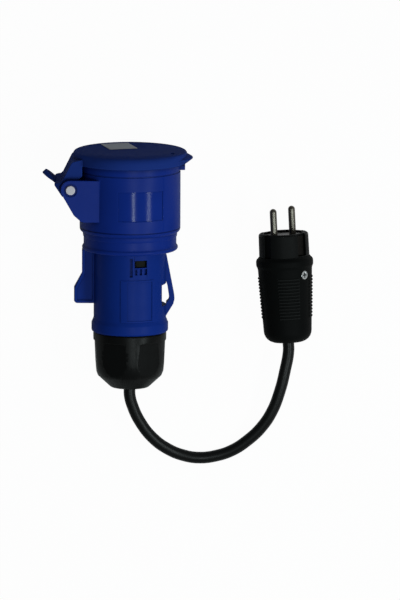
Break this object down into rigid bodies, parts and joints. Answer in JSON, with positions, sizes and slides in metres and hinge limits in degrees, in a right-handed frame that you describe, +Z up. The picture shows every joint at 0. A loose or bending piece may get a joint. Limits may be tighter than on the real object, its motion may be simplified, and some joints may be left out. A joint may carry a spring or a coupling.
{
  "type": "plug adapter lead",
  "caption": "Short adapter lead: round industrial connector with a sprung lid and contact sleeves, a flexible cord and an earthed two-pin plug.",
  "frame": {"origin": "on the resting surface, under the middle of the connector's box", "axes": "+Z up from the surface; +Y along the connector towards its lid; +X towards the plug's side"},
  "size_m": [0.1896, 0.226, 0.0803],
  "materials": {
    "blue_shell": "satin moulded polyamide",
    "blue_carrier": "matt moulded insulator",
    "black_rubber": "matt",
    "grey_label": "matt film",
    "pale_pin": "satin",
    "spring_steel": "drawn wire",
    "dark_plastic": "matt",
    "black_plastic": "fine grained",
    "white_plastic": "natural",
    "brass": "turned",
    "steel": "zinc plated",
    "nickel": "nickel plated",
    "cord_rubber": "smooth sheath",
    "plug_rubber": "fine grained",
    "brown_core": "insulation",
    "blue_core": "insulation",
    "green_core": "insulation"
  },
  "bodies": {
    "connector": {"front_housing": "blue_shell", "hinge_pin": "pale_pin", "lid_spring": "spring_steel", "handle": "blue_shell", "lock_tab": "dark_plastic", "gland_nut": "black_plastic", "gland_seal": "black_rubber", "cord_claw": "white_plastic", "housing_seal": "black_rubber", "contact_carrier": "blue_carrier", "line_contact": "brass", "neutral_contact": "brass", "earth_contact": "brass", "contact_screws": "steel", "line_core": "brown_core", "neutral_core": "blue_core", "earth_core": "green_core", "cord": "cord_rubber", "plug_body": "plug_rubber", "plug_insert": "black_plastic", "plug_pin_line": "nickel", "plug_pin_neutral": "nickel", "earth_strap": "nickel", "plug_screw": "steel", "plug_terminal_screws": "steel", "plug_cord_clamp": "white_plastic", "plug_clamp_screws": "steel", "plug_line_core": "brown_core", "plug_neutral_core": "blue_core", "plug_earth_core": "green_core"},
    "lid": {"lid": "blue_shell", "lid_gasket": "black_rubber", "lid_label": "grey_label"}
  },
  "joints": [
    {"name": "lid_hinge", "type": "hinge", "parent": "connector", "child": "lid", "pos_m": [-0.0326, 0.05775, 0.03794], "axis": [0, -0.1038, 0.9946], "range_deg": [0, 90], "stiffness_Nm_per_rad": 0.05, "springref_deg": -57.3, "deforming": ["lid_spring"]}
  ]
}
